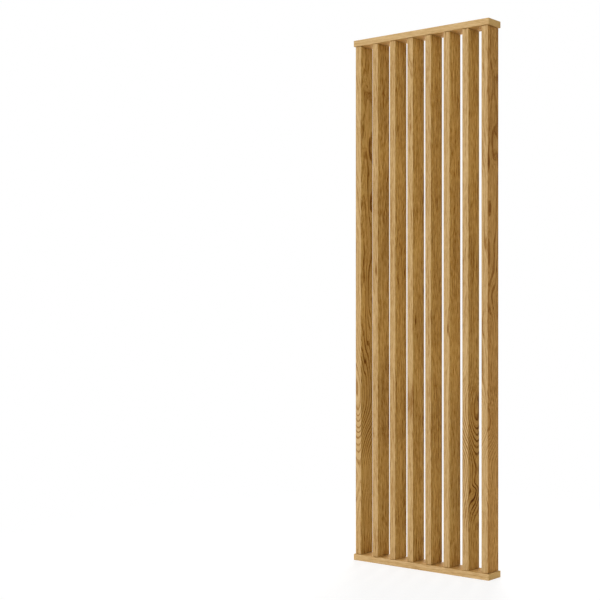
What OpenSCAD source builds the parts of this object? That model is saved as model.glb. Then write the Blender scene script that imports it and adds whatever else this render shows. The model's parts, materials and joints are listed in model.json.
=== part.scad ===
// Floor-to-ceiling room divider: a row of upright oak slats between two rails.
// Each slat turns on its own upright axis, on a fixed pin below and a sprung pin above.
// The origin is on the floor, in the middle of the bottom rail. X runs along the row, Y from front to back.

/* [Overall] */
// Height from floor to ceiling
total_h = 2400; // [2100:10:3000]
// Number of slats in the row
slat_count = 8; // [2:1:8]

/* [Slats] */
// Width of a slat, which lies from front to back while the divider stands open
slat_w = 90; // [70:1:90]
// Thickness of a slat
slat_t = 31; // [26:1:32]
// Distance between the axes of neighbouring slats, more than a slat's diagonal so that each turns freely
slat_pitch = 96; // [96:1:130]
// Radius of a slat's long edges
slat_edge_r = 1.5; // [1:0.5:4]

/* [Rails] */
// Depth of a rail from front to back
rail_depth = 100; // [96:1:140]
// Thickness of a rail
rail_t = 28; // [26:1:40]
// Distance from the end slat's face to the end of the rail
end_margin = 7.5; // [6:0.5:40]
// Radius of a rail's long edges on the slats' side. Those against the floor and the ceiling stay square.
rail_edge_r = 1.5; // [1:0.5:4]
// Shank hole for the screws that hold a rail to the floor or the ceiling
screw_hole_d = 5.5; // [4.5:0.5:6.5]
// Countersink for the screw heads
screw_head_d = 11; // [9:0.5:13]

/* [Pivots] */
// Diameter of both pivot pins
pin_d = 8; // [6:0.5:8]
// Gap all round between a pin and what it turns or slides in
pin_clearance = 0.05; // [0.02:0.01:0.1]
// Depth to which the bottom pin is pressed into the slat
bottom_pin_grip = 40; // [25:1:60]
// How far the bottom pin reaches into the bottom rail
bottom_pin_reach = 9.5; // [7:0.5:11]
// How far the top pin stands out of the slat
top_pin_reach = 12; // [9:0.5:13]
// Outer diameter of a bushing
bushing_d = 12; // [10:0.5:14]
// Flange diameter of a bushing
flange_d = 20; // [17:0.5:24]
// Flange thickness of a bushing, which is also the slat's height above the bottom rail
flange_t = 1.5; // [1:0.25:3]
// Gap between the top of a slat and the top rail
top_gap = 1.5; // [1:0.25:3]

/* [Sprung pin] */
// Outer diameter of the sleeve in the slat's upper end
sleeve_d = 14; // [13.5:0.5:16]
// Length of the sleeve
sleeve_len = 50; // [45:1:70]
// Wire diameter of the spring
wire_d = 1; // [0.8:0.1:1.2]
// Mean diameter of the spring
coil_d = 8.6; // [8:0.1:9]
// Number of curls of the spring
curls = 8; // [4:1:10]

/* [Hidden] */
$fn = 64;

oak = [0.73, 0.58, 0.39];
rail_oak = [0.8, 0.66, 0.46];
steel = [0.72, 0.73, 0.75];
spring_steel = [0.5, 0.51, 0.54];
nylon = [0.9, 0.88, 0.82];

// The row
rail_len = (slat_count - 1) * slat_pitch + slat_t + 2 * end_margin;
slat_foot = rail_t + flange_t;
slat_head = total_h - rail_t - top_gap;
slat_len = slat_head - slat_foot;

// Bushings
bore_d = pin_d + 2 * pin_clearance;
bottom_bushing_depth = 12;
top_bushing_depth = 18;
mouth_chamfer = 0.5;

// Bottom pin
bottom_tip_h = 3;
bottom_tip_d = pin_d - 3;

// Sprung pin. The sleeve's lip holds the collar, and the spring pushes the collar up against it.
sleeve_bore_d = sleeve_d - 2.8;
sleeve_floor = 1.5;
sleeve_flange_d = 18;
sleeve_flange_t = 1.5;
lip_t = 3;
collar_d = sleeve_bore_d - 0.4;
collar_t = 3;
stub_d = 6;
stub_len = 12;
top_tip_h = 2;
top_tip_d = pin_d - 3;
spring_foot = slat_head - sleeve_len + sleeve_floor;
spring_head = slat_head - lip_t - collar_t;

// Fixing screws go between the slats, in the middle of the first, third, fifth and seventh gap
screw_gaps = [for (gap = [1 : 2 : slat_count - 1]) gap];
countersink_h = (screw_head_d - screw_hole_d) / 2;
cut = 1;  // how far a cutting shape runs past the face that it cuts

// X of the axis of slat i, counted from the left as seen from the front
function axis_x(i) = (i - (slat_count + 1) / 2) * slat_pitch;

module rounded_rect(w, h, r) {
    square([w - 2 * r, h], center = true);
    square([w, h - 2 * r], center = true);
    for (x = [-1, 1], y = [-1, 1])
        translate([x * (w / 2 - r), y * (h / 2 - r)]) circle(r);
}

// A rail from z = 0 to rail_t with its inner face, which holds the bushings, on top
module rail_blank() {
    rotate([90, 0, 90]) linear_extrude(rail_len, center = true) {
        translate([0, rail_t / 2]) rounded_rect(rail_depth, rail_t, rail_edge_r);
        translate([-rail_depth / 2, 0]) square([rail_depth, rail_t / 2]);
    }
}

module screw_hole() {
    translate([0, 0, -cut]) cylinder(d = screw_hole_d, h = rail_t + 2 * cut);
    translate([0, 0, rail_t - countersink_h])
        cylinder(d1 = screw_hole_d, d2 = screw_head_d, h = countersink_h);
    translate([0, 0, rail_t]) cylinder(d = screw_head_d, h = cut);
}

module screw_holes() {
    for (gap = screw_gaps)
        translate([axis_x(gap) + slat_pitch / 2, 0, 0]) screw_hole();
}

module bottom_rail() {
    color(rail_oak) difference() {
        rail_blank();
        screw_holes();
        for (i = [1 : slat_count])
            translate([axis_x(i), 0, rail_t - bottom_bushing_depth])
                cylinder(d = bushing_d, h = bottom_bushing_depth + cut);
    }
}

module top_rail() {
    color(rail_oak) translate([0, 0, total_h]) mirror([0, 0, 1]) difference() {
        rail_blank();
        screw_holes();
        for (i = [1 : slat_count]) translate([axis_x(i), 0, rail_t]) {
            translate([0, 0, -top_bushing_depth]) cylinder(d = bushing_d, h = top_bushing_depth + cut);
            translate([0, 0, -flange_t]) cylinder(d = flange_d, h = flange_t + cut);
        }
    }
}

// A flanged bushing with its flange's outer face at z = 0 and its body below
module bushing(depth) {
    color(nylon) difference() {
        union() {
            translate([0, 0, -depth]) cylinder(d = bushing_d, h = depth);
            translate([0, 0, -flange_t]) cylinder(d = flange_d, h = flange_t);
        }
        translate([0, 0, -depth - cut]) cylinder(d = bore_d, h = depth + 2 * cut);
        translate([0, 0, -mouth_chamfer])
            cylinder(d1 = bore_d, d2 = bore_d + 2 * mouth_chamfer, h = mouth_chamfer);
    }
}

// The bottom bushing's flange lies on the rail and carries the slat
module bottom_bushing(i) {
    translate([axis_x(i), 0, slat_foot]) bushing(bottom_bushing_depth + flange_t);
}

// The top bushing's flange is let in flush
module top_bushing(i) {
    translate([axis_x(i), 0, total_h - rail_t]) mirror([0, 0, 1]) bushing(top_bushing_depth);
}

module slat(i) {
    color(oak) translate([axis_x(i), 0, slat_foot]) difference() {
        linear_extrude(slat_len) rounded_rect(slat_t, slat_w, slat_edge_r);
        translate([0, 0, -cut]) cylinder(d = pin_d, h = bottom_pin_grip + cut);
        translate([0, 0, slat_len - sleeve_len]) cylinder(d = sleeve_d, h = sleeve_len + cut);
        translate([0, 0, slat_len - sleeve_flange_t]) cylinder(d = sleeve_flange_d, h = sleeve_flange_t + cut);
    }
}

module bottom_pin(i) {
    tip = rail_t - bottom_pin_reach;
    color(steel) translate([axis_x(i), 0, tip]) {
        cylinder(d1 = bottom_tip_d, d2 = pin_d, h = bottom_tip_h);
        translate([0, 0, bottom_tip_h])
            cylinder(d = pin_d, h = slat_foot + bottom_pin_grip - tip - bottom_tip_h);
    }
}

module top_sleeve(i) {
    color(steel) translate([axis_x(i), 0, slat_head - sleeve_len]) difference() {
        union() {
            cylinder(d = sleeve_d, h = sleeve_len);
            translate([0, 0, sleeve_len - sleeve_flange_t]) cylinder(d = sleeve_flange_d, h = sleeve_flange_t);
        }
        translate([0, 0, sleeve_floor])
            cylinder(d = sleeve_bore_d, h = sleeve_len - sleeve_floor - lip_t);
        translate([0, 0, sleeve_len / 2]) cylinder(d = bore_d, h = sleeve_len);
    }
}

// Stub in the spring, collar under the sleeve's lip, shank and tapered tip, turned in one piece
module top_pin(i) {
    tip_foot = slat_head + top_pin_reach - top_tip_h;
    color(steel) translate([axis_x(i), 0, 0]) {
        translate([0, 0, spring_head - stub_len]) cylinder(d = stub_d, h = stub_len);
        translate([0, 0, spring_head]) cylinder(d = collar_d, h = collar_t);
        translate([0, 0, spring_head + collar_t])
            cylinder(d = pin_d, h = tip_foot - spring_head - collar_t);
        translate([0, 0, tip_foot]) cylinder(d1 = pin_d, d2 = top_tip_d, h = top_tip_h);
    }
}

// The spring is one wire of six sides along a helix, with eight rings to a curl
rings_per_curl = 8;
wire_sides = 6;
coil_rise = spring_head - spring_foot - wire_d;
ring_count = curls * rings_per_curl + 1;
turn_step = 360 / rings_per_curl;
ring_rise = coil_rise / (ring_count - 1);
coil_slope = atan2(coil_rise / curls, PI * coil_d);

function ring_dir(k) = [cos(k * turn_step), sin(k * turn_step), 0];
function ring_mid(k) = coil_d / 2 * ring_dir(k) + [0, 0, wire_d / 2 + k * ring_rise];
// Across the wire, square to the helix and to the radius
function ring_up(k) = [
    sin(k * turn_step) * sin(coil_slope), -cos(k * turn_step) * sin(coil_slope), cos(coil_slope)
];
function ring_points(k) = [for (j = [0 : wire_sides - 1])
    ring_mid(k) + wire_d / 2 * (cos(j * 360 / wire_sides) * ring_dir(k) + sin(j * 360 / wire_sides) * ring_up(k))];

spring_points = [for (k = [0 : ring_count - 1]) each ring_points(k)];
spring_sides = [for (k = [0 : ring_count - 2], j = [0 : wire_sides - 1])
    let (
        a = k * wire_sides + j,
        b = k * wire_sides + (j + 1) % wire_sides
    )
    each [[a, b, b + wire_sides], [a, b + wire_sides, a + wire_sides]]];
last_ring = (ring_count - 1) * wire_sides;
spring_ends = [for (j = [1 : wire_sides - 2])
    each [[0, j + 1, j], [last_ring, last_ring + j, last_ring + j + 1]]];

// Least gap between two stretches of the wire that are over half a curl apart
spring_gap = min([for (k = [0 : ring_count - 1], m = [k + rings_per_curl / 2 : 1 : ring_count - 1])
    norm(ring_mid(k) - ring_mid(m))]) - wire_d;
echo(str("least gap in the spring: ", spring_gap, " mm"));

module top_spring(i) {
    color(spring_steel) translate([axis_x(i), 0, spring_foot])
        polyhedron(points = spring_points, faces = concat(spring_sides, spring_ends));
}

bottom_rail();
top_rail();
for (i = [1 : slat_count]) {
    slat(i);
    bottom_pin(i);
    bottom_bushing(i);
    top_bushing(i);
    top_sleeve(i);
    top_spring(i);
    top_pin(i);
}
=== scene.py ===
import json
from math import cos, hypot, pi, radians, sin

import bpy
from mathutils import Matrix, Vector


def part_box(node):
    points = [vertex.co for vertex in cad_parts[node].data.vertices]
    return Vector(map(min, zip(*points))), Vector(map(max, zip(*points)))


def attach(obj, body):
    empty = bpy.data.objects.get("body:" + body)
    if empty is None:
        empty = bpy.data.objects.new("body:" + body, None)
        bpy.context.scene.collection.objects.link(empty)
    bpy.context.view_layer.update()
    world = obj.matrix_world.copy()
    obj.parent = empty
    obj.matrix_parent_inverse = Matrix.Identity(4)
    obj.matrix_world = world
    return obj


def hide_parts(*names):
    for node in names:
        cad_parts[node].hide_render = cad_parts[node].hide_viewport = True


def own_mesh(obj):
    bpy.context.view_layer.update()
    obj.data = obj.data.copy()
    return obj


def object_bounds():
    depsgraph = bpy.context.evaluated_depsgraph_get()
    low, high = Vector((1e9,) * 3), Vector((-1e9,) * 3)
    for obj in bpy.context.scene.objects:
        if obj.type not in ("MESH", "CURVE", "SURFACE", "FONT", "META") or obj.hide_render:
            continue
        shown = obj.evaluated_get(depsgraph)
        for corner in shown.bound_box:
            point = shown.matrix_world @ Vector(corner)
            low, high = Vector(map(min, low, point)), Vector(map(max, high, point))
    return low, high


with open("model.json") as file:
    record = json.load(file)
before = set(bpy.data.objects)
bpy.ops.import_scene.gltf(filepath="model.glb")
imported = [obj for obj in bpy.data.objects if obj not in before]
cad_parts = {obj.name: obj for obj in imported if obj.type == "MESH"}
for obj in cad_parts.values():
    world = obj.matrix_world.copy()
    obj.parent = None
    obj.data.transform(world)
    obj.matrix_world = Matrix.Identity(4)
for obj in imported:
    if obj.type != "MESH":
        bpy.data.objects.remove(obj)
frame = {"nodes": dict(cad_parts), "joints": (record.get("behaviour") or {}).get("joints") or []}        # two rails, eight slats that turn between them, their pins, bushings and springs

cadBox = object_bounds()
cadNodes = frame["nodes"]
slatCount = sum(1 for name in cadNodes if name.startswith("slat_"))
mm = 0.001
print("frame loaded,", slatCount, "slats")


# A Wire is one socket. Sums on Wires add Math nodes, in shaders and in Geometry Nodes alike.
class Wire:
    def __init__(self, graph, socket):
        self.graph, self.socket = graph, socket

    def math(self, operation, *others):
        return self.graph.add("ShaderNodeMath", {"operation": operation}, [self, *others])

    def __add__(self, other):
        return self.math("ADD", other)

    def __sub__(self, other):
        return self.math("SUBTRACT", other)

    def __mul__(self, other):
        return self.math("MULTIPLY", other)

    def __truediv__(self, other):
        return self.math("DIVIDE", other)

    def __rsub__(self, other):
        return self.graph.add("ShaderNodeMath", {"operation": "SUBTRACT"}, [other, self])

    def __neg__(self):
        return self * -1.0

    __radd__ = __add__
    __rmul__ = __mul__

    def atLeast(self, other):
        return self.math("MAXIMUM", other)

    def atMost(self, other):
        return self.math("MINIMUM", other)

    def rise(self, low, high):         # 0 below low, 1 above high, smooth in between
        return self.graph.add("ShaderNodeMapRange", {"interpolation_type": "SMOOTHSTEP"},
                              {"Value": self, "From Min": low, "From Max": high})


class Graph:
    def __init__(self, nodeTree):
        self.nodeTree = nodeTree

    # Settings come first, because they decide which sockets the node has
    def add(self, kind, settings=None, inputs=(), output=0):
        node = self.nodeTree.nodes.new(kind)
        for name, value in (settings or {}).items():
            if name == "stops":
                fillRamp(node.color_ramp, value)
            else:
                setattr(node, name, value)
        sockets = [s for s in node.inputs if s.enabled]
        for key, value in inputs.items() if isinstance(inputs, dict) else enumerate(inputs):
            socket = sockets[key] if isinstance(key, int) else next(s for s in sockets if s.name == key)
            for one in value if isinstance(value, list) else [value]:
                if isinstance(one, Wire):
                    self.nodeTree.links.new(one.socket, socket)
                else:
                    socket.default_value = one
        made = [s for s in node.outputs if s.enabled]
        if not made:
            return node
        return Wire(self, made[output] if isinstance(output, int) else node.outputs[output])

    def vector(self, x=0.0, y=0.0, z=0.0):
        return self.add("ShaderNodeCombineXYZ", None, [x, y, z])

    def parts(self, vector):
        split = self.add("ShaderNodeSeparateXYZ", None, [vector]).socket.node
        return [Wire(self, s) for s in split.outputs]


def fillRamp(ramp, stops):
    while len(ramp.elements) < len(stops):
        ramp.elements.new(1.0)
    for element, (place, colour) in zip(ramp.elements, stops):
        element.position, element.color = place, colour


def paint(red, green, blue):           # a colour as a picture shows it, 0 to 255
    def plain(level):
        level = level / 255
        return level / 12.92 if level <= 0.04045 else ((level + 0.055) / 1.055) ** 2.4
    return plain(red), plain(green), plain(blue), 1.0


def newMaterial(name):
    material = bpy.data.materials.new(name)
    material.use_nodes = True
    material.node_tree.nodes.clear()
    return material, Graph(material.node_tree)


# Camera
cameraView = {
    "turn": 39.41,        # degrees to the right of straight in front
    "aside": 0.8032,      # the rails' front right corner is this far to the right of the picture's middle
    "away": 5.3059,       # and this far from the camera
    "eyeHeight": 1.136,
    "lens": 74.75,
    "shiftUp": 0.0237,
}


def makeCamera():
    view = cameraView
    turn = radians(view["turn"])
    toRight = Vector((cos(turn), sin(turn), 0))
    ahead = Vector((-sin(turn), cos(turn), 0))
    railLow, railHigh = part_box("bottom_rail")
    corner = Vector((railHigh.x, railLow.y, 0))
    data = bpy.data.cameras.new("camera")
    data.lens = view["lens"]
    data.shift_y = view["shiftUp"]
    data.clip_end = 60
    camera = bpy.data.objects.new("camera", data)
    onFloor = corner - toRight * view["aside"] - ahead * view["away"]
    camera.location = onFloor + Vector((0, 0, view["eyeHeight"]))
    camera.rotation_euler = (pi / 2, 0, turn)
    bpy.context.scene.collection.objects.link(camera)
    bpy.context.scene.camera = camera


makeCamera()
print("camera placed")


# Oak. Sizes of the grain are in millimetres, first across it and then along it.
oak = {
    "yearWidth": 3.1,
    "sway": (170.0, 330.0),                # the three ways in which the grain wavers
    "roll": (60.0, 170.0),
    "ripple": (40.0, 62.0),
    "rippleWidth": 3.0,
    "grain": (2.6, 30.0),
    "streak": (3.4, 170.0),
    "band": (34.0, 900.0),
    "cloud": 420.0,                        # slow changes of tone along the board
    "fibre": (1.2, 24.0),
    "pore": (0.45, 9.0),
    "ray": (9.0, 0.8, 14.0),               # deep towards the pith, thick and long
    "tones": [
        (0.00, paint(88, 52, 18)),
        (0.16, paint(123, 82, 33)),
        (0.32, paint(158, 118, 66)),
        (0.50, paint(190, 155, 103)),
        (0.70, paint(206, 173, 123)),
        (1.00, paint(224, 194, 148)),
    ],
    "plain": 0.52,                         # the tone without any grain
    "strength": {
        "grain": 1.1,
        "band": 0.2,
        "cloud": 0.2,
        "fibre": 0.6,
        "early": 0.07,
        "pores": 0.26,
        "rays": 0.05,
    },
    "calmFace": 0.55,                      # the grain is this strong on the narrow faces
    "endPale": 0.30,
    "relief": 0.12,
    "roughness": 0.82,
}


# A board has its own centre, size and grain direction, and its own place in the trunk: where the pith lies
# beside it, how it leans, where the trunk widens so that the rings run out in arches, and its knots
def oakMaterial(name, board):
    material, graph = newMaterial(name)
    place = graph.parts(graph.add("ShaderNodeTexCoord", output="Object"))
    x, y, z = [(part - middle) * (1 / mm) for part, middle in zip(place, board["centre"])]
    halfX, halfY, halfZ = [length / mm / 2 for length in board["size"]]
    u, v, w = (z, y, x) if board["grain"] == "X" else (x, y, z)
    halfU, halfV, halfW = (halfZ, halfY, halfX) if board["grain"] == "X" else (halfX, halfY, halfZ)
    seed = board["seed"] * 17.3

    def noise(first, second, third, detail, rough=0.5):
        return graph.add("ShaderNodeTexNoise", {"noise_dimensions": "3D"}, {
            "Vector": graph.vector(first, second, third), "Scale": 1.0, "Detail": detail,
            "Roughness": rough})

    def noiseAlong(line, detail=0.0):
        return graph.add("ShaderNodeTexNoise", {"noise_dimensions": "1D"}, {
            "W": line + seed, "Scale": 1.0, "Detail": detail})

    def waver(name, shift, detail):                      # through the whole board, about 0
        wide, long = oak[name]
        return noise(u / wide + seed, v / wide + shift, w / long, detail) - 0.5

    def grained(name, detail, rough=0.5, shift=0.0):     # stretched along the rings, about 0
        wide, long = oak[name]
        return noise(radius / wide + seed, around / wide + shift, w / long, detail, rough) - 0.5

    # The trunk isn't straight, so the rings sway along the board
    sway = waver("sway", 0.0, 1.0) * board["sway"]
    roll = waver("roll", 9.0, 0.0) * board["roll"]
    ripple = waver("ripple", 4.0, 1.0) * oak["rippleWidth"]
    pithU = u - board["pith"][0] - w * board["lean"][0] + sway
    pithV = v - board["pith"][1] - w * board["lean"][1] - sway
    radius = (pithU * pithU + pithV * pithV).math("SQRT") + roll + ripple
    far = hypot(*board["pith"])
    around = v * (board["pith"][0] / far) - u * (board["pith"][1] / far)

    # Where the trunk widens, the rings run out of the face in arches. Their lines are dark, and the short
    # grain between them is weak.
    ink = board["ink"]
    short = 1.0 - board.get("calm", 0.0)
    for arch in board["arches"]:
        share = (w - arch["at"]) / arch["reach"]
        window = (-(share * share)).math("EXPONENT")
        radius = radius + share * window * (arch["slope"] * arch["reach"])
        ink = window * arch["ink"] + ink
        short = short * (1.0 - window * 0.5)

    # A knot pushes the rings outwards and has a dark core
    dark = 0.0
    for knot in board["knots"]:
        across = (u if knot["face"] == "front" else v) - knot["at"][0]
        height = w - knot["at"][1]
        share = across / knot["wide"]
        reach = height.atLeast(0.0) / knot["up"] + height.atMost(0.0) / knot["down"]
        distance = share * share + reach * reach
        radius = radius + (-distance).math("EXPONENT") * knot["push"]
        dark = (distance * (-1 / knot["core"] ** 2)).math("EXPONENT") * knot["dark"] + dark
        rim = (distance * -0.4).math("EXPONENT")
        ink = rim * knot["rim"] + ink
        short = short * (1.0 - rim * 0.5)

    group = radius / board["group"]
    lines = noiseAlong(group * 1.3, 1.0)
    rings = ((group + noiseAlong(group * 0.4)) * (2 * pi)).math("SINE").rise(0.0, 1.0)
    year = (radius / oak["yearWidth"] + seed).math("FRACT")
    early = (1.0 - year.rise(0.0, 0.45)) * year.rise(-0.02, 0.06)
    grain = grained("grain", 2.0)
    streak = grained("streak", 1.0, shift=5.0)
    wide, long = oak["band"]
    band = noise(radius / wide, around / (2 * wide) + seed, w / long, 1.0) - 0.5
    cloud = noiseAlong(w / oak["cloud"], 1.0) - 0.5
    fibre = grained("fibre", 2.0, rough=0.6, shift=11.0)
    pores = grained("pore", 1.0).rise(0.10, 0.22) * (early * 0.75 + 0.25)
    deep, thick, long = oak["ray"]
    rays = noise(radius / deep, around / thick + seed, w / long, 1.0).rise(0.62, 0.74)

    # 1 on the ends, and 1 on the narrow faces
    endFace = (w.math("ABSOLUTE") - halfW).rise(-1.0, 0.0)
    edgeFace = (v.math("ABSOLUTE") - halfV - u.math("ABSOLUTE") + halfU).rise(-1.0, 1.0) * (1.0 - endFace)
    strength = oak["strength"]
    texture = (grain * strength["grain"] + streak) * (1.0 - endFace * 0.7) * short
    texture = texture + band * strength["band"] + cloud * strength["cloud"] + fibre * strength["fibre"]
    texture = texture - early * (endFace * 0.2 + strength["early"])
    bundle = (lines - 0.5) * (edgeFace * 0.4 + 0.6) * board["bundle"]
    drawn = rings * (lines + 0.5) * (1.0 - edgeFace * 0.2) * ink
    tone = texture * (1.0 - edgeFace * (1.0 - oak["calmFace"])) + bundle - drawn - dark
    tone = tone - pores * strength["pores"] + rays * strength["rays"] + endFace * oak["endPale"]
    tone = tone + (board["pale"] + oak["plain"])
    colour = graph.add("ShaderNodeValToRGB", {"stops": oak["tones"]}, [tone])

    # Painted shade: a darker, warmer tint is multiplied onto the wide faces and the ends, standing in for
    # the shade they lie in
    paintedShadeTint = board["paintedShadeTint"]
    if "outside" in board:
        side, outer = board["outside"]
        paintedShadeTint = graph.add("ShaderNodeMix", {"data_type": "RGBA"}, {
            "Factor": (u * side).rise(0.0, 1.0), "A": paintedShadeTint, "B": outer})
    colour = graph.add("ShaderNodeMix", {"data_type": "RGBA", "blend_type": "MULTIPLY"}, {
        "Factor": 1.0 - edgeFace, "A": colour, "B": paintedShadeTint})

    relief = 0.6 - pores + fibre * 0.25 - early * 0.2
    bump = graph.add("ShaderNodeBump", None, {
        "Strength": 0.6, "Distance": oak["relief"] * mm, "Height": relief})
    surface = graph.add("ShaderNodeBsdfPrincipled", None, {
        "Base Color": colour,
        "Roughness": oak["roughness"] + pores * 0.2 - rays * 0.08 + fibre * 0.1,
        "Specular IOR Level": 0.05,
        "Normal": bump,
    })
    graph.add("ShaderNodeOutputMaterial", None, [surface])
    return material


# Metal turned on a lathe: fine rings along the part's axis. Both patterns are in steps to the metre.
steel = {
    "rings": 5200.0,
    "cloud": 420.0,
    "relief": 0.03 * mm,
    "dull": 0.86,               # the darker places, as a share of the colour
}


def steelMaterial(name, colour, roughness):
    material, graph = newMaterial(name)
    place = graph.add("ShaderNodeTexCoord", output="Object")
    height = graph.parts(place)[2]
    rings = graph.add("ShaderNodeTexNoise", {"noise_dimensions": "1D"}, {
        "W": height * steel["rings"], "Scale": 1.0, "Detail": 3.0}) - 0.5
    cloud = graph.add("ShaderNodeTexNoise", {"noise_dimensions": "3D"}, {
        "Vector": place, "Scale": steel["cloud"], "Detail": 3.0}) - 0.5
    dull = paint(*[level * steel["dull"] for level in colour])
    shade = graph.add("ShaderNodeMix", {"data_type": "RGBA"}, {
        "Factor": cloud * 0.5 + rings * 0.3 + 0.5, "A": dull, "B": paint(*colour)})
    bump = graph.add("ShaderNodeBump", None, {
        "Strength": 0.4, "Distance": steel["relief"], "Height": rings})
    surface = graph.add("ShaderNodeBsdfPrincipled", None, {
        "Base Color": shade,
        "Metallic": 1.0,
        "Roughness": roughness + rings * 0.16 + cloud * 0.12,
        "Normal": bump,
    })
    graph.add("ShaderNodeOutputMaterial", None, [surface])
    return material


nylon = {
    "cloud": 260.0,
    "skin": 3400.0,
    "relief": 0.02 * mm,
    "dark": paint(214, 208, 192),
    "light": paint(234, 230, 218),
    "roughness": 0.42,
}


def nylonMaterial(name):
    material, graph = newMaterial(name)
    place = graph.add("ShaderNodeTexCoord", output="Object")
    cloud = graph.add("ShaderNodeTexNoise", {"noise_dimensions": "3D"}, {
        "Vector": place, "Scale": nylon["cloud"], "Detail": 4.0}) - 0.5
    skin = graph.add("ShaderNodeTexNoise", {"noise_dimensions": "3D"}, {
        "Vector": place, "Scale": nylon["skin"], "Detail": 2.0}) - 0.5
    shade = graph.add("ShaderNodeMix", {"data_type": "RGBA"}, {
        "Factor": cloud * 1.4 + 0.5, "A": nylon["dark"], "B": nylon["light"]})
    bump = graph.add("ShaderNodeBump", None, {
        "Strength": 0.3, "Distance": nylon["relief"], "Height": skin})
    surface = graph.add("ShaderNodeBsdfPrincipled", None, {
        "Base Color": shade, "Roughness": nylon["roughness"] + cloud * 0.2, "Normal": bump})
    graph.add("ShaderNodeOutputMaterial", None, [surface])
    return material


# Geometry Nodes. Every tree has named inputs, and a tree that makes a whole piece ends in Set Material.
def newTree(name, inputs):
    nodeTree = bpy.data.node_groups.new(name, "GeometryNodeTree")
    for label, kind in inputs.items():
        nodeTree.interface.new_socket(name=label, in_out="INPUT", socket_type="NodeSocket" + kind)
    nodeTree.interface.new_socket(name="Geometry", in_out="OUTPUT", socket_type="NodeSocketGeometry")
    graph = Graph(nodeTree)
    entry = nodeTree.nodes.new("NodeGroupInput")
    given = {s.name: Wire(graph, s) for s in entry.outputs if s.name}
    return graph, given


def endTree(graph, shape, material=None):
    if material is not None:
        shape = graph.add("GeometryNodeRealizeInstances", None, {"Geometry": shape})
        shape = graph.add("GeometryNodeSetMaterial", None, {"Geometry": shape, "Material": material})
    graph.add("NodeGroupOutput", None, {"Geometry": shape})
    return graph.nodeTree


def makePiece(name, nodeTree, values):
    piece = bpy.data.objects.new(name, bpy.data.meshes.new(name))
    bpy.context.scene.collection.objects.link(piece)
    modifier = piece.modifiers.new("shape", "NODES")
    modifier.node_group = nodeTree
    sockets = {s.name: s.identifier for s in nodeTree.interface.items_tree if s.in_out == "INPUT"}
    for label, value in values.items():
        modifier[sockets[label]] = value
    bpy.context.view_layer.update()
    evaluated = piece.evaluated_get(bpy.context.evaluated_depsgraph_get())
    mesh = bpy.data.meshes.new_from_object(evaluated)
    piece.modifiers.remove(modifier)
    piece.data = mesh
    return piece


# A board that stands on z = 0, with rounded long edges and eased ends
def boardTree():
    graph, given = newTree("board", {
        "Thickness": "Float", "Width": "Float", "Length": "Float", "Edge": "Float", "End": "Float"})
    thickness, width, length = given["Thickness"], given["Width"], given["Length"]
    edge, end = given["Edge"], given["End"]
    steps = 4              # rings that round an end
    corner = 7             # points that round a long edge

    index = graph.add("GeometryNodeInputIndex")
    fromEnd = index.atMost(2 * steps + 1 - index)
    inwards = end * (1.0 - (fromEnd * (pi / 2 / steps)).math("COSINE"))
    atTop = index.math("GREATER_THAN", steps + 0.5)
    height = inwards + atTop * (length - inwards * 2.0)
    line = graph.add("GeometryNodeMeshLine", None, {"Count": 2 * steps + 2, "Offset": (0, 0, 1)})
    line = graph.add("GeometryNodeSetPosition", None, {
        "Geometry": line, "Position": graph.vector(0.0, 0.0, height)})
    path = graph.add("GeometryNodeMeshToCurve", None, {"Mesh": line})

    outline = graph.add("GeometryNodeCurvePrimitiveQuadrilateral", None, {
        "Width": thickness, "Height": width})
    outline = graph.add("GeometryNodeFilletCurve", {"mode": "POLY"}, {
        "Curve": outline, "Count": corner, "Radius": edge, "Limit Radius": True})
    shape = graph.add("GeometryNodeCurveToMesh", None, {
        "Curve": path, "Profile Curve": outline, "Fill Caps": True})

    # Towards an end every point moves in, to the middle of its own corner
    x, y, z = graph.parts(graph.add("GeometryNodeInputPosition"))
    fromTip = end - z.atMost(length - z).atMost(end)
    inset = end - (end * end - fromTip * fromTip).atLeast(0.0).math("SQRT")
    shrink = 1.0 - inset / edge
    middle = [part.atMost(size * 0.5 - edge).atLeast(edge - size * 0.5)
              for part, size in ((x, thickness), (y, width))]
    rounded = graph.vector(*[m + (part - m) * shrink for m, part in zip(middle, (x, y))], z)
    shape = graph.add("GeometryNodeSetPosition", None, {"Geometry": shape, "Position": rounded})
    return endTree(graph, shape)


holeSides = 40


# A round cutter of twice the depth: it cuts to that depth from a face, and goes through from the middle
def cutter(graph, radius, depth, height):
    rod = graph.add("GeometryNodeMeshCylinder", None, {
        "Vertices": holeSides, "Radius": radius, "Depth": depth * 2.0})
    return graph.add("GeometryNodeTransform", None, {
        "Geometry": rod, "Translation": graph.vector(0.0, 0.0, height)})


def cutAway(graph, shape, cutters):
    return graph.add("GeometryNodeMeshBoolean", {"operation": "DIFFERENCE", "solver": "EXACT"},
                     {"Mesh 1": shape, "Mesh 2": cutters})


# Slats
slat = {
    "edge": 1.5 * mm,
    "end": 0.8 * mm,
    "sleeveRadius": 7.0 * mm,
    "sleeveFlange": 1.5 * mm,
    # painted shade: the tint for the slats' wide faces and ends
    "paintedShadeTint": paint(251, 249, 212),
}


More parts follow.
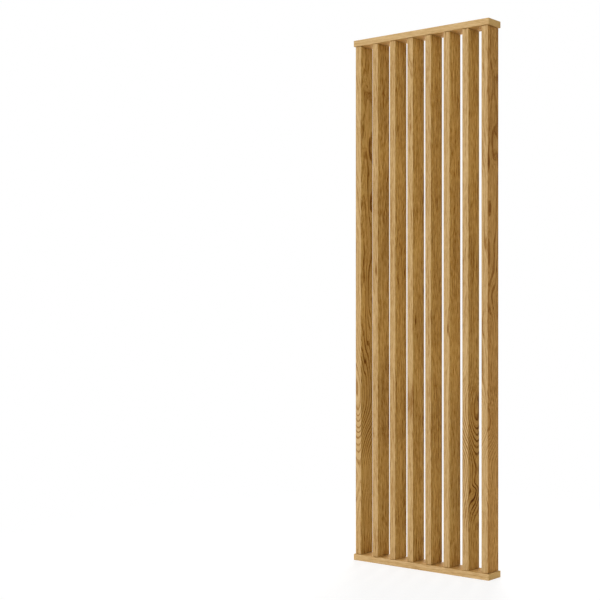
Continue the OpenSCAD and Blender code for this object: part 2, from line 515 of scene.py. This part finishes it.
def slatTree(board):
    graph, given = newTree("slat", {
        "Thickness": "Float", "Width": "Float", "Length": "Float", "Edge": "Float", "End": "Float",
        "Axis": "Float", "Foot": "Float", "Pin Radius": "Float", "Pin Depth": "Float",
        "Sleeve Radius": "Float", "Sleeve Depth": "Float",
        "Flange Radius": "Float", "Flange Depth": "Float", "Material": "Material"})
    body = graph.nodeTree.nodes.new("GeometryNodeGroup")
    body.node_tree = board
    for label in ("Thickness", "Width", "Length", "Edge", "End"):
        graph.nodeTree.links.new(given[label].socket, body.inputs[label])
    shape = Wire(graph, body.outputs[0])
    shape = cutAway(graph, shape, [
        cutter(graph, given["Pin Radius"], given["Pin Depth"], 0.0),
        cutter(graph, given["Sleeve Radius"], given["Sleeve Depth"], given["Length"]),
        cutter(graph, given["Flange Radius"], given["Flange Depth"], given["Length"])])
    shape = graph.add("GeometryNodeTransform", None, {
        "Geometry": shape, "Translation": graph.vector(given["Axis"], 0.0, given["Foot"])})
    return endTree(graph, shape, given["Material"])


# What each slat shows of its tree, in millimetres from the slat's middle.
# pith: where it is beside the slat, across its thickness and width. lean: how the pith slants, likewise.
# sway and roll: how far the rings waver.
# group: how far apart the dark years are. ink: how dark their lines are. bundle: how much the years differ.
# pale: how much lighter this slat is. calm: how much weaker its short grain is.
# outside: the side on which it faces out of the row, and the painted tint on that face, which stands in for
# the warm light bounced between the slats.
# An arch is at a height, and points up where its slope is positive.
# A knot is at a place across its face and along it. wide, up and down: how far it reaches.
# push: how far it moves the rings. rim: how dark they are around it. dark: how dark it is itself.
# core: the share of it that is so dark.
slatBoards = [
    {"seed": 1, "pith": (-29, -35), "lean": (-0.052, 0.049), "sway": 20, "roll": 24,
     "bundle": 0.25, "ink": 0.17, "group": 14, "pale": 0.07, "calm": 0.25,
     # painted light: a warmer tint on the outer face, in place of bounced light
     "outside": (-1, paint(252, 241, 202)),
     "arches": [{"at": -600, "slope": -0.50, "reach": 250, "ink": 0.16}],
     "knots": [
         {"face": "side", "at": (20, 848), "wide": 12, "up": 50, "down": 50, "push": 6,
          "dark": 0.10, "rim": 0.10, "core": 0.9},
         {"face": "side", "at": (18, 667), "wide": 18, "up": 95, "down": 65, "push": 13,
          "dark": 0.04, "rim": 0.16, "core": 0.7},
         {"face": "side", "at": (26, 430), "wide": 16, "up": 95, "down": 65, "push": 13,
          "dark": 0.08, "rim": 0.16, "core": 0.6},
         {"face": "side", "at": (20, 22), "wide": 20, "up": 150, "down": 75, "push": 20,
          "dark": 0.08, "rim": 0.18, "core": 0.6},
         {"face": "side", "at": (0, -195), "wide": 14, "up": 80, "down": 50, "push": 11,
          "dark": 0.06, "rim": 0.16, "core": 0.7},
         {"face": "side", "at": (-22, -290), "wide": 14, "up": 70, "down": 60, "push": 9,
          "dark": 0.09, "rim": 0.10, "core": 0.6},
     ]},
    {"seed": 2, "pith": (-88, 96), "lean": (-0.008, -0.008), "sway": 22, "roll": 14,
     "bundle": 0.3, "ink": 0.04, "group": 9, "pale": 0.00,
     "arches": [],
     "knots": [
         {"face": "front", "at": (5, 132), "wide": 10, "up": 90, "down": 50, "push": 9,
          "dark": 0.4, "rim": 0.08, "core": 0.35},
     ]},
    {"seed": 3, "pith": (84, -104), "lean": (0.006, 0.006), "sway": 18, "roll": 10,
     "bundle": 0.2, "ink": 0.03, "group": 9, "pale": 0.00,
     "arches": [],
     "knots": [
         {"face": "side", "at": (29, 127), "wide": 10, "up": 50, "down": 40, "push": 6,
          "dark": 0.45, "rim": 0.06, "core": 0.4},
         {"face": "side", "at": (43, 500), "wide": 8, "up": 90, "down": 90, "push": 5,
          "dark": 0.3, "rim": 0.0, "core": 0.7},
     ]},
    {"seed": 4, "pith": (-84, 92), "lean": (0.012, 0.012), "sway": 26, "roll": 14,
     "bundle": 0.3, "ink": 0.03, "group": 9, "pale": 0.02,
     "arches": [],
     "knots": [
         {"face": "side", "at": (-23, -97), "wide": 11, "up": 60, "down": 50, "push": 8,
          "dark": 0.5, "rim": 0.06, "core": 0.4},
         {"face": "side", "at": (-42, -450), "wide": 9, "up": 120, "down": 120, "push": 5,
          "dark": 0.25, "rim": 0.0, "core": 0.7},
     ]},
    {"seed": 5, "pith": (110, 118), "lean": (-0.006, -0.006), "sway": 16, "roll": 9,
     "bundle": 0.2, "ink": 0.02, "group": 9, "pale": 0.00,
     "arches": [], "knots": []},
    {"seed": 6, "pith": (-92, -98), "lean": (0.005, 0.005), "sway": 18, "roll": 12,
     "bundle": 0.34, "ink": 0.03, "group": 9, "pale": 0.00,
     "arches": [],
     "knots": [
         {"face": "front", "at": (7, -132), "wide": 10, "up": 100, "down": 50, "push": 9,
          "dark": 0.35, "rim": 0.08, "core": 0.35},
     ]},
    {"seed": 7, "pith": (85, 30), "lean": (0.004, 0.004), "sway": 14, "roll": 8,
     "bundle": 0.2, "ink": 0.04, "group": 9, "pale": 0.02,
     "arches": [{"at": -605, "slope": -0.36, "reach": 190, "ink": 0.33}],
     "knots": [
         {"face": "side", "at": (8, -835), "wide": 36, "up": 28, "down": 95, "push": 24,
          "dark": 0.12, "rim": 0.4, "core": 0.8},
     ]},
    {"seed": 8, "pith": (-52, -30), "lean": (0.0, 0.051), "sway": 24, "roll": 30,
     "bundle": 0.35, "ink": 0.16, "group": 11, "pale": 0.06, "calm": 0.1,
     # painted light: a warmer tint on the outer face, in place of bounced light
     "outside": (1, paint(254, 232, 190)),
     "arches": [{"at": -630, "slope": -0.50, "reach": 150, "ink": 0.05}],
     "knots": [
         {"face": "side", "at": (36, 930), "wide": 8, "up": 60, "down": 80, "push": 5,
          "dark": 0.22, "rim": 0.0, "core": 0.8},
         {"face": "side", "at": (8, 676), "wide": 24, "up": 100, "down": 70, "push": 11,
          "dark": 0.08, "rim": 0.10, "core": 0.6},
         {"face": "side", "at": (-34, 582), "wide": 12, "up": 40, "down": 40, "push": 6,
          "dark": 0.18, "rim": 0.05, "core": 0.7},
         {"face": "side", "at": (34, 460), "wide": 9, "up": 70, "down": 110, "push": 6,
          "dark": 0.22, "rim": 0.0, "core": 0.8},
         {"face": "side", "at": (-25, 395), "wide": 12, "up": 40, "down": 40, "push": 8,
          "dark": 0.10, "rim": 0.10, "core": 0.7},
         {"face": "side", "at": (30, 128), "wide": 10, "up": 50, "down": 40, "push": 7,
          "dark": 0.5, "rim": 0.05, "core": 0.35},
         {"face": "side", "at": (-8, 15), "wide": 25, "up": 150, "down": 80, "push": 15,
          "dark": 0.10, "rim": 0.10, "core": 0.6},
         {"face": "front", "at": (-7, 655), "wide": 8, "up": 60, "down": 80, "push": 7,
          "dark": 0.12, "rim": 0.12, "core": 0.8},
         {"face": "front", "at": (0, 250), "wide": 9, "up": 130, "down": 90, "push": 9,
          "dark": 0.06, "rim": 0.16, "core": 0.7},
         {"face": "front", "at": (-9, -125), "wide": 7, "up": 50, "down": 70, "push": 6,
          "dark": 0.16, "rim": 0.12, "core": 0.9},
         {"face": "front", "at": (-9, -295), "wide": 7, "up": 70, "down": 50, "push": 6,
          "dark": 0.16, "rim": 0.12, "core": 0.9},
     ]},
]


def makeSlats(board):
    nodeTree = slatTree(board)
    for number, trunk in enumerate(slatBoards, 1):
        low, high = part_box(f"slat_{number}")
        pinLow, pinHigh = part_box(f"bottom_pin_{number}")
        sleeveLow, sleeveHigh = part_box(f"top_sleeve_{number}")
        middle = (low + high) / 2
        size = high - low
        material = oakMaterial(f"slatOak{number}", {
            "paintedShadeTint": slat["paintedShadeTint"], **trunk, "centre": middle, "size": size, "grain": "Z"})
        piece = makePiece(f"slat_board_{number}", nodeTree, {
            "Thickness": size.x, "Width": size.y, "Length": size.z,
            "Edge": slat["edge"], "End": slat["end"],
            "Axis": middle.x, "Foot": low.z,
            "Pin Radius": (pinHigh.x - pinLow.x) / 2, "Pin Depth": pinHigh.z - low.z,
            "Sleeve Radius": slat["sleeveRadius"], "Sleeve Depth": sleeveHigh.z - sleeveLow.z,
            "Flange Radius": (sleeveHigh.x - sleeveLow.x) / 2, "Flange Depth": slat["sleeveFlange"],
            "Material": material})
        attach(piece, f"turning_slat_{number}")
        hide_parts(f"slat_{number}")


# Rails
rail = {
    "edge": 1.5 * mm,
    "end": 1.0 * mm,
    "boreRadius": 6.0 * mm,
    "bushingFlange": 1.5 * mm,
    "screwRadius": 2.75 * mm,
    "screwHeadRadius": 5.5 * mm,
    # painted shade: the tint for the rails' wide faces (top and underside) and ends
    "paintedShadeTint": paint(249, 238, 205),
}
railBoards = {
    "bottom_rail": {"seed": 21, "pith": (70, 30), "lean": (0.01, 0.01), "sway": 20, "roll": 10,
                    "bundle": 0.2, "ink": 0.02, "group": 9, "pale": 0.13, "arches": [], "knots": []},
    "top_rail": {"seed": 22, "pith": (-60, -60), "lean": (-0.012, -0.012), "sway": 20, "roll": 10,
                 "bundle": 0.2, "ink": 0.02, "group": 9, "pale": 0.13, "arches": [], "knots": []},
}


# Built with its inner face on top, and turned over for the top rail
def railTree(board):
    graph, given = newTree("rail", {
        "Thickness": "Float", "Width": "Float", "Length": "Float", "Edge": "Float", "End": "Float",
        "Slats": "Int", "Pitch": "Float", "Bore Radius": "Float", "Bore Depth": "Float", "Recess": "Bool",
        "Flange Radius": "Float", "Flange Depth": "Float", "Screw Radius": "Float", "Head Radius": "Float",
        "Turn": "Float", "Height": "Float", "Material": "Material"})
    body = graph.nodeTree.nodes.new("GeometryNodeGroup")
    body.node_tree = board
    for label in ("Thickness", "Width", "Length", "Edge", "End"):
        graph.nodeTree.links.new(given[label].socket, body.inputs[label])
    lying = graph.add("GeometryNodeTransform", None, {
        "Geometry": Wire(graph, body.outputs[0]), "Rotation": (0, pi / 2, 0),
        "Translation": graph.vector(given["Length"] * -0.5, 0.0, given["Thickness"] * 0.5)})

    top = given["Thickness"]
    bore = cutter(graph, given["Bore Radius"], given["Bore Depth"], top)
    flange = cutter(graph, given["Flange Radius"], given["Flange Depth"], top)
    recess = graph.add("GeometryNodeSwitch", {"input_type": "GEOMETRY"}, {
        "Switch": given["Recess"], "True": flange})
    socket = graph.add("GeometryNodeJoinGeometry", None, {"Geometry": [bore, recess]})
    sink = given["Head Radius"] - given["Screw Radius"]
    cone = graph.add("GeometryNodeMeshCone", None, {
        "Vertices": holeSides, "Radius Top": given["Head Radius"] * 2.0,
        "Radius Bottom": given["Screw Radius"], "Depth": sink + given["Head Radius"]})
    cone = graph.add("GeometryNodeTransform", None, {
        "Geometry": cone, "Translation": graph.vector(0.0, 0.0, top - sink)})
    shank = cutter(graph, given["Screw Radius"], top, top * 0.5)
    screw = graph.add("GeometryNodeJoinGeometry", None, {"Geometry": [cone, shank]})

    slats, pitch = given["Slats"], given["Pitch"]
    firstAxis = (slats - 1) * pitch * -0.5
    axes = graph.add("GeometryNodeMeshLine", None, {
        "Count": slats, "Start Location": graph.vector(firstAxis), "Offset": graph.vector(pitch)})
    gaps = graph.add("GeometryNodeMeshLine", None, {
        "Count": (slats * 0.5).math("FLOOR"), "Start Location": graph.vector(firstAxis + pitch * 0.5),
        "Offset": graph.vector(pitch * 2.0)})
    shape = lying
    for points, hole in ((axes, socket), (gaps, screw)):
        holes = graph.add("GeometryNodeInstanceOnPoints", None, {"Points": points, "Instance": hole})
        holes = graph.add("GeometryNodeRealizeInstances", None, {"Geometry": holes})
        shape = cutAway(graph, shape, [holes])
    shape = graph.add("GeometryNodeTransform", None, {
        "Geometry": shape, "Rotation": graph.vector(given["Turn"]),
        "Translation": graph.vector(0.0, 0.0, given["Height"])})
    return endTree(graph, shape, given["Material"])


def makeRails(board):
    nodeTree = railTree(board)
    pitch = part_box("slat_2")[0].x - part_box("slat_1")[0].x
    for name, trunk in railBoards.items():
        upsideDown = name == "top_rail"
        low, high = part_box(name)
        size = high - low
        bushLow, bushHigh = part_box(name.replace("rail", "bushing_1"))
        innerFace = low.z if upsideDown else high.z
        depth = bushHigh.z - innerFace if upsideDown else innerFace - bushLow.z
        material = oakMaterial(name + "Oak", {
            **trunk, "paintedShadeTint": rail["paintedShadeTint"], "centre": (low + high) / 2, "size": size, "grain": "X"})
        piece = makePiece(name + "_board", nodeTree, {
            "Thickness": size.z, "Width": size.y, "Length": size.x,
            "Edge": rail["edge"], "End": rail["end"],
            "Slats": slatCount, "Pitch": pitch, "Bore Radius": rail["boreRadius"],
            "Bore Depth": depth, "Recess": upsideDown, "Flange Radius": (bushHigh.x - bushLow.x) / 2,
            "Flange Depth": rail["bushingFlange"], "Screw Radius": rail["screwRadius"],
            "Head Radius": rail["screwHeadRadius"], "Turn": pi if upsideDown else 0.0,
            "Height": high.z if upsideDown else low.z, "Material": material})
        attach(piece, "rails")
        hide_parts(name)


# Springs under the top pins
spring = {
    "curls": 8.0,
    "wireRadius": 0.5 * mm,
    "stepsPerCurl": 24,
    "sides": 10,
}


def springTree():
    graph, given = newTree("spring", {
        "Curls": "Float", "Coil Radius": "Float", "Wire Radius": "Float", "Height": "Float",
        "Axis": "Float", "Foot": "Float", "Material": "Material"})
    wire = given["Wire Radius"]
    helix = graph.add("GeometryNodeCurveSpiral", None, {
        "Resolution": spring["stepsPerCurl"], "Rotations": given["Curls"],
        "Start Radius": given["Coil Radius"], "End Radius": given["Coil Radius"],
        "Height": given["Height"] - wire * 2.0})
    outline = graph.add("GeometryNodeCurvePrimitiveCircle", None, {
        "Resolution": spring["sides"], "Radius": wire})
    shape = graph.add("GeometryNodeCurveToMesh", None, {
        "Curve": helix, "Profile Curve": outline, "Fill Caps": True})
    shape = graph.add("GeometryNodeTransform", None, {
        "Geometry": shape, "Translation": graph.vector(given["Axis"], 0.0, given["Foot"] + wire)})
    return endTree(graph, shape, given["Material"])


def makeSprings(material):
    nodeTree = springTree()
    for number in range(1, slatCount + 1):
        low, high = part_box(f"top_spring_{number}")
        joint = next(j for j in frame["joints"] if j["name"] == f"pin_slide_{number}")
        foot = Vector(((low.x + high.x) / 2, 0, low.z))
        piece = makePiece(f"spring_wire_{number}", nodeTree, {
            "Curls": spring["curls"], "Coil Radius": (high.x - low.x) / 2 - spring["wireRadius"],
            "Wire Radius": spring["wireRadius"], "Height": high.z - low.z, "Axis": foot.x, "Foot": foot.z,
            "Material": material})
        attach(piece, f"turning_slat_{number}")
        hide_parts(f"top_spring_{number}")
        travel = -joint["range_m"][0]
        1 - travel / (high.z - low.z)
        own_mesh(piece)


# The turned parts keep their CAD shape
def dress(prefix, material):
    for name, node in cadNodes.items():
        if name.startswith(prefix):
            node.data.materials.clear()
            node.data.materials.append(material)


board = boardTree()
makeSlats(board)
print("slats made")
makeRails(board)
print("rails made")
makeSprings(steelMaterial("springSteel", colour=(150, 152, 158), roughness=0.34))
print("springs made")
pinSteel = steelMaterial("pinSteel", colour=(204, 206, 210), roughness=0.26)
dress("bottom_pin", pinSteel)
dress("top_pin", pinSteel)
dress("top_sleeve", steelMaterial("sleeveSteel", colour=(190, 190, 182), roughness=0.38))
bushingNylon = nylonMaterial("bushingNylon")
dress("bottom_bushing", bushingNylon)
dress("top_bushing", bushingNylon)
print("hardware dressed")


# Studio. The sky is brightest in front. The lamp behind sends light in between the slats.
studio = {
    "skyTurn": 5.0,               # the bright sky is this many degrees to the right of straight in front
    "skyFront": 2.5,
    "skyBack": 0.42,
    "skyAbove": 0.47,
    "floorReach": 30.0,
    "floorLit": 0.74,             # how bright the lamps alone would leave the open floor
    "shadowShare": 0.35,          # how much of the real shadow the white floor lets through
    "shadowReach": (0.7, 2.4),    # it is whole up to the first distance and gone at the second
    "lamps": [
        {"name": "backLight", "from": (-3.0, 5.0, 2.2), "size": (2.4, 3.0), "power": 410},
    ],
}


# The camera, reflections and glass see plain white, and the rest sees the other shader
def whiteToCamera(graph, kind, other, share=1.0, strength=1.0):
    path = graph.add("ShaderNodeLightPath").socket.node
    seen = [Wire(graph, path.outputs[n]) for n in ("Is Camera Ray", "Is Glossy Ray", "Is Transmission Ray")]
    white = graph.add(kind, None, {"Color": (1, 1, 1, 1), "Strength": strength})
    factor = seen[0].atLeast(seen[1]).atLeast(seen[2]) * share
    return graph.add("ShaderNodeMixShader", None, [factor, other, white])


def addLamp(lamp, aim):
    data = bpy.data.lights.new(lamp["name"], "AREA")
    data.energy = lamp["power"]
    data.shape = "RECTANGLE"
    data.size, data.size_y = lamp["size"]
    light = bpy.data.objects.new(lamp["name"], data)
    light.location = lamp["from"]
    light.rotation_euler = (aim - light.location).to_track_quat("-Z", "Y").to_euler()
    bpy.context.scene.collection.objects.link(light)


def makeStudio():
    world = bpy.data.worlds.new("studio")
    world.use_nodes = True
    world.node_tree.nodes.clear()
    graph = Graph(world.node_tree)
    x, y, z = graph.parts(graph.add("ShaderNodeTexCoord", output="Generated"))     # which way it looks
    turn = radians(studio["skyTurn"])
    ahead = x * sin(turn) - y * cos(turn)
    bright = 0.0
    for side, level in ((ahead, "skyFront"), (-ahead, "skyBack"), (z, "skyAbove")):
        share = side.atLeast(0.0)
        bright = share * share * studio[level] + bright
    sky = graph.add("ShaderNodeBackground", None, {"Color": (1, 1, 1, 1), "Strength": bright})
    graph.add("ShaderNodeOutputWorld", None, [whiteToCamera(graph, "ShaderNodeBackground", sky)])
    bpy.context.scene.world = world

    material, graph = newMaterial("studioFloor")
    matt = graph.add("ShaderNodeBsdfDiffuse", None, {"Color": paint(250, 250, 250)})
    x, y = graph.parts(graph.add("ShaderNodeTexCoord", output="Object"))[:2]
    shadow = (1.0 - (x * x + y * y).math("SQRT").rise(*studio["shadowReach"])) * studio["shadowShare"]
    makeUp = (1.0 - shadow * studio["floorLit"]) / (1.0 - shadow)       # so that the open floor is white
    white = whiteToCamera(graph, "ShaderNodeEmission", matt, 1.0 - shadow, makeUp)
    graph.add("ShaderNodeOutputMaterial", None, [white])
    reach = studio["floorReach"]
    mesh = bpy.data.meshes.new("floor")
    mesh.from_pydata([(-reach, -reach, 0), (reach, -reach, 0), (reach, reach, 0), (-reach, reach, 0)], [],
                     [(0, 1, 2, 3)])
    mesh.materials.append(material)
    floor = bpy.data.objects.new("floor", mesh)
    bpy.context.scene.collection.objects.link(floor)

    aim = Vector((0, 0, (cadBox[0][2] + cadBox[1][2]) / 2))
    for lamp in studio["lamps"]:
        addLamp(lamp, aim)
    bpy.context.scene.view_settings.view_transform = "Standard"


makeStudio()
print("studio lit")
